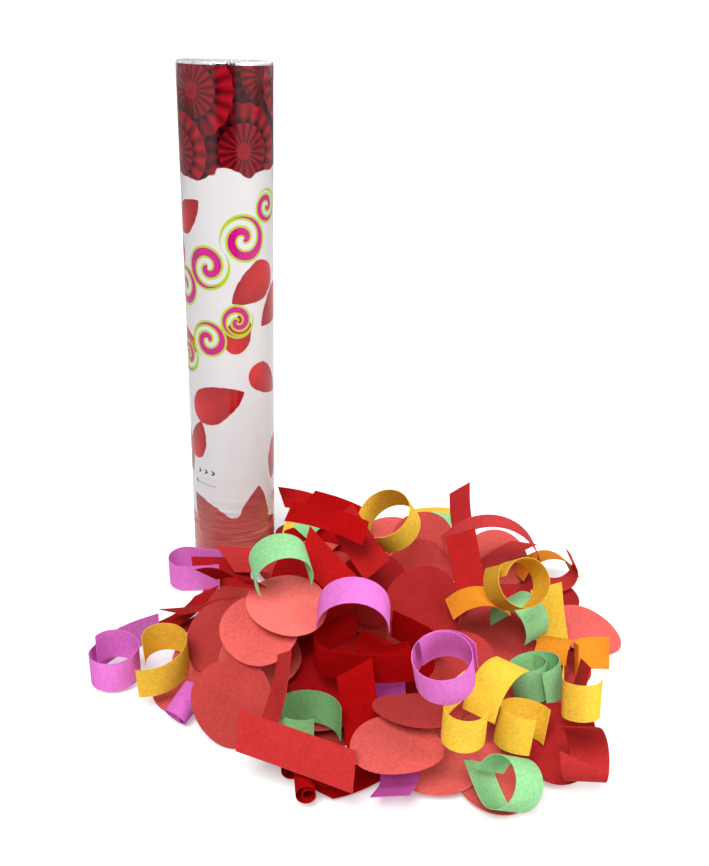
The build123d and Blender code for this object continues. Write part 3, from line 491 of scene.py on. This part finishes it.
lime = (0.38, 0.55, 0.010)
magenta = (0.52, 0.001, 0.20)
black = (0.02, 0.02, 0.02)
printed_film, tree, shader = new_surface("printed_film", (0.8, 0.8, 0.8), 0.16)
spot = put_group(tree, label_place)
height = spot["Up"]
blotch = ramp_to(grain(tree, 26, 3, (1, 1, 0.35)), 0.6, 0.74, 0.0, 0.5)
label = tint(blotch, (0.665, 0.645, 0.65), (0.63, 0.56, 0.46))
streak = grain(tree, 120, 3, (1, 1, 0.25))
label = strew_petals(label, spot, [
    (-6, 104, 204, 36, 25), (-36, 72, 120, 34, 24), (34, 158, 40, 32, 22), (36, 66, 70, 30, 20),
    (-40, 190, 300, 30, 22), (8, 146, 250, 26, 17), (62, 110, 200, 34, 24), (-66, 130, 80, 36, 24),
    (58, 200, 150, 30, 20), (76, 160, 330, 28, 20), (-70, 84, 20, 30, 22), (-30, 138, 330, 24, 16),
    (17, 171, 35, 32, 23), (25, 116, 140, 27, 19), (-23, 207, 220, 25, 18), (-20, 80, 255, 25, 16),
], base_depth=0.0, tip_depth=0.7, rim_depth=0.35, pattern=streak * 0.5,
    dark=(0.24, 0.003, 0.006), pale=(0.64, 0.016, 0.017))
for centre_around, centre_up, radius, turn in [
    (-28, 168, 10.5, 0.1), (-9, 181, 11.5, 0.6), (11, 196, 12, 0.15), (27, 212, 8, 0.4),
    (-27, 129, 9, 0.55), (-10, 141, 10, 0.05), (7, 152, 8.5, 0.7), (52, 172, 11, 0.3),
    (70, 186, 10, 0.8), (58, 132, 9, 0.2), (-64, 160, 11, 0.9), (-60, 204, 10, 0.5),
]:
    spiral = put_group(
        tree, party_spiral, Centre_Around=centre_around, Centre_Up=centre_up, Radius=radius,
        Pitch=radius * 0.80, Turn=turn, Stroke=radius * 0.43, Border_Width=1.15, **spot,
    )
    label = tint(spiral["Border"], label, lime)
    label = tint(spiral["Body"], label, magenta)
for centre_around, centre_up, tall, arm, points in [
    (-19.5, 60.5, 3.0, 1.5, 1), (-14.5, 60.5, 3.0, 1.5, 1), (-9.5, 60.5, 3.0, 1.5, 1),
    (-22.5, 53.05, 3.0, 1.2, -1),
]:
    mark = put_group(
        tree, chevron, Centre_Around=centre_around, Centre_Up=centre_up, Height=tall, Arm=arm,
        Points=points, **spot,
    )
    label = tint(mark["Mask"], label, black)
arrow_shaft = put_group(
    tree, wavy_band, Base=51.4, Slope=-0.075, Swing=0, Wavelength=50, Phase=0, Width=0.6,
    From=-22.4, To=-8, **spot,
)
label = tint(arrow_shaft["Mask"], label, black)

foot_band = put_group(
    tree, wavy_band, Base=8, Slope=0, Swing=3, Wavelength=52.4, Phase=0.4, Width=44,
    From=-90, To=90, **spot,
)
folds = grain(tree, 42, 4, (1, 1, 7))
# The foot's red print is painted darker in the wrinkle hollows and paler on the ridges, along the same noise
# as the wrinkle bump: painted shade and light.
foot_print_and_fold_shade = tint(ramp_to(folds, 0.32, 0.68), (0.25, 0.034, 0.038), (0.66, 0.165, 0.15))
label = tint(foot_band["Mask"], label, foot_print_and_fold_shade)
# The foot petals are also painted darker and paler along the wrinkles: painted shade and light.
label = strew_petals(label, spot, [
    (16, 30, 262, 44, 27), (-10, 25, 308, 50, 30), (-58, 26, 240, 48, 30), (54, 24, 290, 48, 30),
    (76, 26, 220, 44, 26), (34, 14, 10, 44, 22),
], base_depth=-0.2, tip_depth=0.5, rim_depth=0.0, pattern=folds * 0.8,
    dark=(0.24, 0.026, 0.03), pale=(0.60, 0.125, 0.11))

crown_height = 228
crown_ragged = 16
crown_edge = (grain(tree, 55, 2) - 0.5) * crown_ragged + crown_height
crown_colour = tint(ramp_to(streak, 0.3, 0.7), (0.02, 0.0005, 0.003), (0.10, 0.002, 0.006))
for centre_around, centre_up, radius, pleats in [
    (-44, 262, 25, 20), (26, 276, 27, 22), (62, 248, 25, 18), (-74, 242, 26, 20), (12, 240, 24, 18),
    (-16, 268, 24, 19), (44, 272, 20, 16), (-28, 238, 21, 16), (76, 276, 22, 17),
]:
    fan = put_group(
        tree, pleated_fan, Centre_Around=centre_around, Centre_Up=centre_up, Radius=radius,
        Pleats=pleats, **spot,
    )
    fan_colour = tint(fan["Shade"], (0.010, 0.0, 0.001), (0.46, 0.006, 0.018))
    crown_colour = tint(fan["Shadow"], crown_colour, (0.004, 0.0, 0.001))
    crown_colour = tint(fan["Mask"], crown_colour, fan_colour)
label = tint(ramp_to(height - crown_edge, 0.0, 0.4), label, crown_colour)
paint(shader, label, ramp_to(grain(tree, 300, 2), 0.3, 0.7, 0.10, 0.22))
shader.inputs["Specular IOR Level"].default_value = 0.4
drawn_tight = ramp_to(height, 22, 50, 1.0, 0.0)
raise_bump(shader, folds * drawn_tight + grain(tree, 90, 2, (1, 1, 0.4)) * 0.06, 1.0, 0.0018)

puckers_round = 1.1
puckers_up = 230
film_columns = 145
film_tree, given = open_tree(
    "shrunk_film", "Film", ["Radius", "Bottom", "Top", "Corner", "Wrinkle"], counts=["Rows"],
)
film_grid = film_tree.nodes.new("GeometryNodeMeshGrid")
film_grid.inputs["Size X"].default_value = 1
film_grid.inputs["Size Y"].default_value = 1
film_grid.inputs["Vertices X"].default_value = film_columns
feed(film_tree, film_grid.inputs["Vertices Y"], given["Rows"])
split = film_tree.nodes.new("ShaderNodeSeparateXYZ")
feed(film_tree, split.inputs[0], film_tree.nodes.new("GeometryNodeInputPosition").outputs[0])
round_angle = Field(film_tree, split.outputs["X"]) * math.tau
sine = calc(film_tree, "SINE", round_angle)
cosine = calc(film_tree, "COSINE", round_angle)
level = (Field(film_tree, split.outputs["Y"]) + 0.5) * (given["Top"] - given["Bottom"]) + given["Bottom"]
pucker = film_tree.nodes.new("ShaderNodeTexNoise")
pucker.inputs["Scale"].default_value = 1.0
pucker.inputs["Detail"].default_value = 3.0
pucker_place = vector_of(film_tree, sine * puckers_round, cosine * puckers_round, level * puckers_up)
feed(film_tree, pucker.inputs["Vector"], pucker_place)
sink = ramp_to(Field(film_tree, pucker.outputs["Fac"]), 0.38, 0.62) * given["Wrinkle"]
sink = sink * ramp_to(level, 0.003, 0.045, 1.0, 0.12)
tuck = greater(given["Corner"] - (level - given["Bottom"]), 0)
bevel = given["Corner"] - root(greater(given["Corner"] * given["Corner"] - tuck * tuck, 0))
radius = given["Radius"] - sink - bevel
wrap = film_tree.nodes.new("GeometryNodeSetPosition")
feed(film_tree, wrap.inputs["Geometry"], film_grid.outputs["Mesh"])
feed(film_tree, wrap.inputs["Position"], vector_of(film_tree, sine * radius, cosine * radius, level))
close_seam = film_tree.nodes.new("GeometryNodeMergeByDistance")
close_seam.inputs["Distance"].default_value = 0.000001
feed(film_tree, close_seam.inputs["Geometry"], wrap.outputs[0])
close_tree(film_tree, close_seam.outputs[0], given["Finish"])

lip_radius = 0.0226
rim_reach = 0.0001
for name, body, node, rows, corner, wrinkle in [
    ("barrel_print", "barrel", "barrel_film", 120, 0.0, 0.0004),
    ("grip_print", "grip", "grip_film", 90, 0.0015, 0.00042),
]:
    low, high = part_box(node)
    bottom = low[2] if corner else low[2] - seam_reach
    top = high[2] + seam_reach if corner else high[2]
    film = grown_mesh(name, film_tree, {
        "Radius": film_radius, "Bottom": bottom, "Top": top, "Corner": corner, "Wrinkle": wrinkle,
        "Rows": rows, "Finish": printed_film,
    })
    work = bmesh.new()
    work.from_mesh(film.data)
    if corner:
        rim = [edge for edge in work.edges if edge.is_boundary and edge.verts[0].co.z < low[2] + rim_reach]
        turned_in = bmesh.ops.extrude_edge_only(work, edges=rim)["geom"]
        for vertex in (part for part in turned_in if isinstance(part, bmesh.types.BMVert)):
            vertex.co.xy = vertex.co.xy.normalized() * lip_radius
    bmesh.ops.recalc_face_normals(work, faces=work.faces)
    for edge in work.edges:
        edge.smooth = not edge.is_boundary
    work.to_mesh(film.data)
    work.free()
    wall = film.modifiers.new("film_wall", "SOLIDIFY")
    wall.thickness = film_wall
    wall.offset = -1
    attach(film, body)
    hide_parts(node)

# Foil cover: a disc of thin bright foil pressed over the muzzle, crinkled on top, its skirt folded down in
# small pleats and tucked under the film.
foil_material, tree, shader = new_surface("crinkled_foil", (0.80, 0.81, 0.82), 0.22, 1.0)
creases = grain(tree, 420, 4)
facets = tree.nodes.new("ShaderNodeTexVoronoi")
facets.inputs["Scale"].default_value = 300
feed(tree, facets.inputs["Vector"], tree.nodes.new("ShaderNodeTexCoord").outputs["Object"])
facet = tree.nodes.new("ShaderNodeSeparateColor")
feed(tree, facet.inputs[0], facets.outputs["Color"])
facet_reflection, facet_tilt = [Field(tree, socket) for socket in facet.outputs[:2]]
# Painted reflections: each crinkle facet and crease is painted lighter or darker silver, standing in for
# what it would mirror.
silver_reflections = tint(facet_reflection * 0.6 + creases * 0.4, (0.42, 0.46, 0.48), (0.95, 0.96, 0.97))
# Painted reflection: broad dark teal patches where the foil would mirror dark surroundings.
dark_reflection = ramp_to(grain(tree, 52, 2), 0.52, 0.60) * 0.75
paint(shader, tint(dark_reflection, silver_reflections, (0.10, 0.15, 0.17)), ramp_to(creases, 0.3, 0.7, 0.12, 0.30))
raise_bump(shader, creases + facet_tilt, 0.3, 0.0005)
foil_low, foil_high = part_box("foil_cover")
foil_top = foil_high[2]
foil_radius = 0.0247
foil_steps = 192
foil_circles = 26
crinkle_depth = 0.0011
sag_depth = 0.0006
pleat_depth = 0.00012
pleat_count = 57
broad_creases = 230
fine_creases = 620
fine_offset = Vector((3, 5, 7))
foil_rings = []
for ring in range(foil_circles):
    foil_rings.append((foil_radius * (ring / foil_circles) ** 0.9, foil_top, 1.0))
foil_rings += [
    (foil_radius - 0.0003, foil_top - 0.00005, 0.5), (foil_radius, foil_top - 0.0004, 0.2),
    (foil_radius, foil_top - 0.0009, 0.2), (foil_radius, foil_top - 0.0016, 0.0),
    (foil_radius, foil_low[2], 0.0),
]
work = bmesh.new()
loops = []
for radius, level, loose in foil_rings:
    loop = []
    for step in range(foil_steps):
        angle = math.tau * step / foil_steps
        point = Vector((radius * math.cos(angle), radius * math.sin(angle), 0))
        crease = noise.noise(point * broad_creases) * 0.6
        crease += noise.noise(point * fine_creases + fine_offset) * 0.4
        drop = loose * crinkle_depth * abs(crease) + loose * sag_depth * (1 - radius / foil_radius)
        wave = 0.5 + 0.5 * math.sin(angle * pleat_count + 3 * math.sin(angle * 5))
        pleat = pleat_depth * wave if loose else 0.0
        pull = (radius - pleat) / radius if radius else 1.0
        loop.append(work.verts.new((point.x * pull, point.y * pull, level - drop)))
    loops.append(loop)
for inner_loop, outer_loop in zip(loops, loops[1:]):
    for step in range(foil_steps):
        follow = (step + 1) % foil_steps
        work.faces.new((inner_loop[step], outer_loop[step], outer_loop[follow], inner_loop[follow]))
bmesh.ops.remove_doubles(work, verts=work.verts, dist=0.000001)
bmesh.ops.recalc_face_normals(work, faces=work.faces)
foil_mesh = bpy.data.meshes.new("foil_cap")
work.to_mesh(foil_mesh)
work.free()
foil_mesh.polygons.foreach_set("use_smooth", [True] * len(foil_mesh.polygons))
foil_mesh.materials.append(foil_material)
foil_cap = bpy.data.objects.new("foil_cap", foil_mesh)
scene.collection.objects.link(foil_cap)
foil_wall = foil_cap.modifiers.new("foil_wall", "SOLIDIFY")
foil_wall.thickness = 0.0001
foil_wall.offset = -1
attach(foil_cap, "foil")
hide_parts("foil_cover")

# Confetti paper: soft tinted sugar paper with fine fibres, cut into round petals and narrow strips. The
# strips are scissor-curled or wound up, so each keeps its own bend. Each sheet is painted towards a shaded
# copy of its dye where it stands steep or lies under others (painted shade), and each sheet differs a
# little.
paper_fibre, given, result = new_group(
    "paper_fibre", ["Dye", "Deep", "Fleck"], ["Colour", "Height"], ["Dye", "Deep", "Colour"],
)
fibre = grain(paper_fibre, 1700, 4)
fleck = ramp_to(grain(paper_fibre, 950, 2), 0.60, 0.72)
cloud = ramp_to(grain(paper_fibre, 70, 3), 0.3, 0.7)
mottle = ramp_to(grain(paper_fibre, 620, 3), 0.36, 0.64)
# Painted shade: each sheet's share of its shaded colour, stored per vertex, mixes the dye towards that
# darker copy.
sheet_shade = paper_fibre.nodes.new("ShaderNodeAttribute")
sheet_shade.attribute_name = "tone"
dye_and_shade = tint(Field(paper_fibre, sheet_shade.outputs["Fac"]), given["Dye"], given["Deep"])
dye_and_shade = tint(cloud * 0.10 + mottle * 0.13, dye_and_shade, (0.0, 0.0, 0.0))
dye_and_shade = tint(ramp_to(fibre, 0.56, 0.70) * 0.012, dye_and_shade, (1.0, 0.7, 0.6))
dye_and_shade = tint(fleck * given["Fleck"], dye_and_shade, (0.25, 0.06, 0.04))
feed(paper_fibre, result["Colour"], dye_and_shade)
feed(paper_fibre, result["Height"], fibre)
papers = {}
# Columns: finish, dye, shade colour (the painted shaded copy of the dye), fleck share, then start, lean,
# cover and spread, which set the painted shade by offset, steepness, cover and a random spread.
for finish_name, dye, shade_colour, fleck_share, start, lean, cover, spread in [
    ("red_petal", (1.0, 0.19, 0.165), (0.33, 0.004, 0.006), 0.05, 0.04, 1.1, 0.73, 0.8),
    ("red_strip", (0.70, 0.076, 0.074), (0.42, 0.002, 0.003), 0.05, 0.66, 0.0, 0.6, 0.8),
    ("yellow_paper", (1.0, 0.64, 0.064), (0.66, 0.33, 0.022), 0.30, -0.35, 0.1, 1.5, 0.4),
    ("green_paper", (0.33, 0.71, 0.33), (0.16, 0.36, 0.11), 0.20, -0.35, 0.1, 1.5, 0.4),
    ("violet_paper", (0.85, 0.22, 0.70), (0.52, 0.06, 0.37), 0.12, -0.35, 0.1, 1.5, 0.4),
    ("orange_paper", (0.88, 0.30, 0.024), (0.56, 0.14, 0.010), 0.20, -0.35, 0.1, 1.5, 0.4),
]:
    paper, tree, shader = new_surface(finish_name, dye, 0.9)
    fibres = put_group(tree, paper_fibre, Dye=(*dye, 1), Deep=(*shade_colour, 1), Fleck=fleck_share)
    paint(shader, fibres["Colour"])
    shader.inputs["Specular IOR Level"].default_value = 0.02
    raise_bump(shader, fibres["Height"], 0.18, 0.0002)
    papers[finish_name] = (paper, start, lean, cover, spread)

paper_thickness = 0.0003
square_cosine = math.cos(math.radians(50))
probe_count = 14
probe_lift = 0.0012
rounding_levels = 2
# Random draws that spread each sheet's share of painted shade a little.
shade_draws = random.Random(60252)
heap_corners = []
heap_triangles = []
for node in frame["record"]["behaviour"]["bodies"]["loose_confetti"]:
    mesh = frame["nodes"][node].data
    first_corner = len(heap_corners)
    heap_corners += [vertex.co.copy() for vertex in mesh.vertices]
    heap_triangles += [[first_corner + corner for corner in face.vertices] for face in mesh.polygons]
heap_tree = BVHTree.FromPolygons(heap_corners, heap_triangles)
openings = [Vector((0, 0, 1)), Vector((-0.5, -0.5, 0.7)), Vector((0.4, -0.7, 0.6)), Vector((0, -0.9, 0.45))]


def whole_sheet(first):
    sheet = [first]
    first.tag = True
    for vertex in sheet:
        for edge in vertex.link_edges:
            other = edge.other_vert(vertex)
            if not other.tag:
                other.tag = True
                sheet.append(other)
    return sheet


# A sheet's share of painted shade: more where it stands steep or other sheets lie over it, plus an offset
# and a random spread.
def shade_share(sheet, start, lean, cover, spread):
    faces = {face for vertex in sheet for face in vertex.link_faces}
    area = sum(face.calc_area() for face in faces)
    level = sum(abs(face.normal.z) * face.calc_area() for face in faces) / area
    looks = [
        heap_tree.ray_cast(vertex.co + way * probe_lift, way)[0] is not None
        for vertex in sheet[::max(1, len(sheet) // probe_count)] for way in openings
    ]
    covered = sum(looks) / len(looks)
    share = start + lean * (1 - level) + cover * covered + spread * (shade_draws.random() - 0.5)
    return min(1.0, max(0.0, share))


def paper_sheets(node, name, body, finish_name, round_outline=False):
    paper, *shading = papers[finish_name]
    work = bmesh.new()
    work.from_mesh(frame["nodes"][node].data)
    bmesh.ops.remove_doubles(work, verts=work.verts, dist=0.000002)
    bmesh.ops.join_triangles(
        work, faces=work.faces, angle_face_threshold=math.radians(4), angle_shape_threshold=math.pi,
    )
    sharp = work.edges.layers.float.new("crease_edge")
    tone = work.verts.layers.float.new("tone")
    for vertex in work.verts:
        vertex.tag = False
    for first in work.verts:
        if first.tag:
            continue
        sheet = whole_sheet(first)
        share = shade_share(sheet, *shading)
        for vertex in sheet:
            vertex[tone] = share
    for edge in work.edges:
        if len(edge.link_faces) != 2:
            continue
        bend = edge.link_faces[0].normal.dot(edge.link_faces[1].normal)
        corner = edge.calc_length() < 1.5 * paper_thickness
        if bend < square_cosine and not (corner and round_outline):
            edge[sharp] = 1.0
            edge.smooth = False
    mesh = bpy.data.meshes.new(name)
    work.to_mesh(mesh)
    work.free()
    mesh.polygons.foreach_set("use_smooth", [True] * len(mesh.polygons))
    mesh.materials.clear()
    mesh.materials.append(paper)
    sheets = bpy.data.objects.new(name, mesh)
    scene.collection.objects.link(sheets)
    rounded = sheets.modifiers.new("rounded", "SUBSURF")
    rounded.levels = rounding_levels
    rounded.render_levels = rounding_levels
    seen = bpy.context.evaluated_depsgraph_get()
    smooth_mesh = bpy.data.meshes.new_from_object(sheets.evaluated_get(seen))
    sheets.modifiers.remove(rounded)
    sheets.data = smooth_mesh
    smooth_mesh.name = name
    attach(sheets, body)
    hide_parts(node)


# Packed charge: streamers wound up tight and stood on the wad, and petals curled round the bore above
# them, all of it hidden in the tube until it is fired.
for dye in ("yellow", "green", "violet", "orange"):
    slot = dye + "_paper"
    paper_sheets("packed_" + dye + "_streamers", "charge_" + dye + "_streamers", "shot", slot)
paper_sheets("packed_red_strips", "charge_red_strips", "shot", "red_strip")
paper_sheets("packed_petals", "charge_petals", "shot", "red_petal", True)

# Loose heap: the same petals and streamers tipped out beside the popper, leaning on each other as they
# fell, with three tight rolls at the front.
for dye in ("yellow", "green", "violet", "orange"):
    slot = dye + "_paper"
    paper_sheets("loose_" + dye + "_streamers", "heap_" + dye + "_streamers", "loose_confetti", slot)
paper_sheets("loose_red_strips", "heap_red_strips", "loose_confetti", "red_strip")
paper_sheets("loose_red_rolls", "heap_red_rolls", "loose_confetti", "red_strip")
paper_sheets("loose_red_petals", "heap_petals", "loose_confetti", "red_petal", True)

# Bed petals: a few more petals of the same red paper, lying flat on the floor under the heap where it
# would otherwise let the floor show through, painted mostly in the shaded copy of that red (painted shade).
bed_length = 0.042
bed_width = 0.034
bed_taper = 0.12
bed_lift = 0.0005
bed_layer = 0.0001
bed_steps = 64
# The bed petals take mostly the painted shaded copy of the red, as if lying in the heap's shade.
bed_shade = 0.75
work = bmesh.new()
tone = work.verts.layers.float.new("tone")
for order, (x, y, turn) in enumerate([
    (0.008, -0.060, 10), (0.062, -0.181, 40), (0.183, -0.124, 75), (0.072, -0.002, 20), (0.172, -0.034, 130),
    (0.137, -0.076, 60), (0.088, -0.103, 160), (0.152, -0.146, 100), (0.046, -0.148, 30), (0.045, 0.021, 25),
    (0.036, -0.033, 137),
]):
    place = Matrix.Translation((x, y, bed_lift + bed_layer * order))
    place = place @ Matrix.Rotation(math.radians(turn), 4, "Z")
    rims = []
    for level in (0.0, paper_thickness):
        rim = []
        for step in range(bed_steps):
            angle = math.tau * step / bed_steps
            half_width = bed_width / 2 * (1 - bed_taper * math.cos(angle))
            point = Vector((bed_length / 2 * math.cos(angle), half_width * math.sin(angle), level))
            vertex = work.verts.new(place @ point)
            vertex[tone] = bed_shade
            rim.append(vertex)
        rims.append(rim)
    work.faces.new(rims[1])
    work.faces.new(rims[0][::-1])
    for step in range(bed_steps):
        follow = (step + 1) % bed_steps
        work.faces.new((rims[0][step], rims[0][follow], rims[1][follow], rims[1][step]))
bed_mesh = bpy.data.meshes.new("heap_bed_petals")
work.to_mesh(bed_mesh)
work.free()
bed_mesh.materials.append(papers["red_petal"][0])
bed_petals = bpy.data.objects.new("heap_bed_petals", bed_mesh)
scene.collection.objects.link(bed_petals)
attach(bed_petals, "loose_confetti")


# Studio: a pale floor that keeps the shadow, a white surround with a dark doorway on the camera's side and
# a dark panel opposite, a broad lamp high behind the camera, and weaker ones to the right and at the back.
def rays_in(tree):
    rays = tree.nodes.new("ShaderNodeLightPath").outputs
    mirrored = greater(Field(tree, rays["Is Glossy Ray"]), Field(tree, rays["Is Transmission Ray"]))
    return Field(tree, rays["Is Camera Ray"]), mirrored


floor_side = 6
floor_front = -0.75
heap_middle = (0.08, -0.10)
floor_mesh = bpy.data.meshes.new("studio_floor")
floor_corners = [
    (-floor_side, floor_front, 0), (floor_side, floor_front, 0), (floor_side, floor_side, 0),
    (-floor_side, floor_side, 0),
]
floor_mesh.from_pydata(floor_corners, [], [(0, 1, 2, 3)])
studio_floor = bpy.data.objects.new("studio_floor", floor_mesh)
scene.collection.objects.link(studio_floor)
floor_material, tree, shader = new_surface("studio_floor", (0.86, 0.86, 0.86), 0.9)
shader.inputs["Specular IOR Level"].default_value = 0.0
shader.inputs["Emission Color"].default_value = (1, 1, 1, 1)
floor_mesh.materials.append(floor_material)
camera_ray, mirrored = rays_in(tree)
x, y, _ = place_on(tree)
dx = x - heap_middle[0]
dy = y - heap_middle[1]
glow = ramp_to(root(dx * dx + dy * dy), 0.16, 0.34, 0.30, 1.0)
feed(tree, shader.inputs["Emission Strength"], camera_ray * glow + mirrored * 0.12)

plain_level = 0.13
doorway_middle = 0.12
panel_middle = 0.16
world = bpy.data.worlds.new("studio")
scene.world = world
world.use_nodes = True
tree = world.node_tree
background = tree.nodes["Background"]
background.inputs["Color"].default_value = (1, 1, 1, 1)
camera_ray, mirrored = rays_in(tree)
direct = greater(camera_ray, mirrored)
x, y, _ = place_on(tree, "Generated")
doorway = ramp_to(abs(bearing(x, y * -1) - doorway_middle), 0.36, 0.50, 0.03, 1.0)
panel = ramp_to(abs(bearing(x, y) - panel_middle), 0.16, 0.24, 0.05, 1.0)
surround = camera_ray + doorway * panel * (direct - camera_ray)
feed(tree, background.inputs["Strength"], surround + (1 - direct) * plain_level)


def soft_lamp(name, place, target, size, power):
    data = bpy.data.lights.new(name, "AREA")
    data.shape = "SQUARE"
    data.size = size
    data.energy = power
    lamp = bpy.data.objects.new(name, data)
    lamp.location = place
    lamp.rotation_euler = (Vector(target) - Vector(place)).to_track_quat("-Z", "Y").to_euler()
    scene.collection.objects.link(lamp)


soft_lamp("key", (-0.35, -1.45, 1.85), (0.05, -0.1, 0.06), 1.2, 53)
soft_lamp("fill", (1.2, -0.65, 0.8), (0.05, -0.1, 0.08), 0.9, 12)
soft_lamp("back", (0.35, 1.15, 1.0), (0.05, -0.05, 0.1), 0.9, 7)
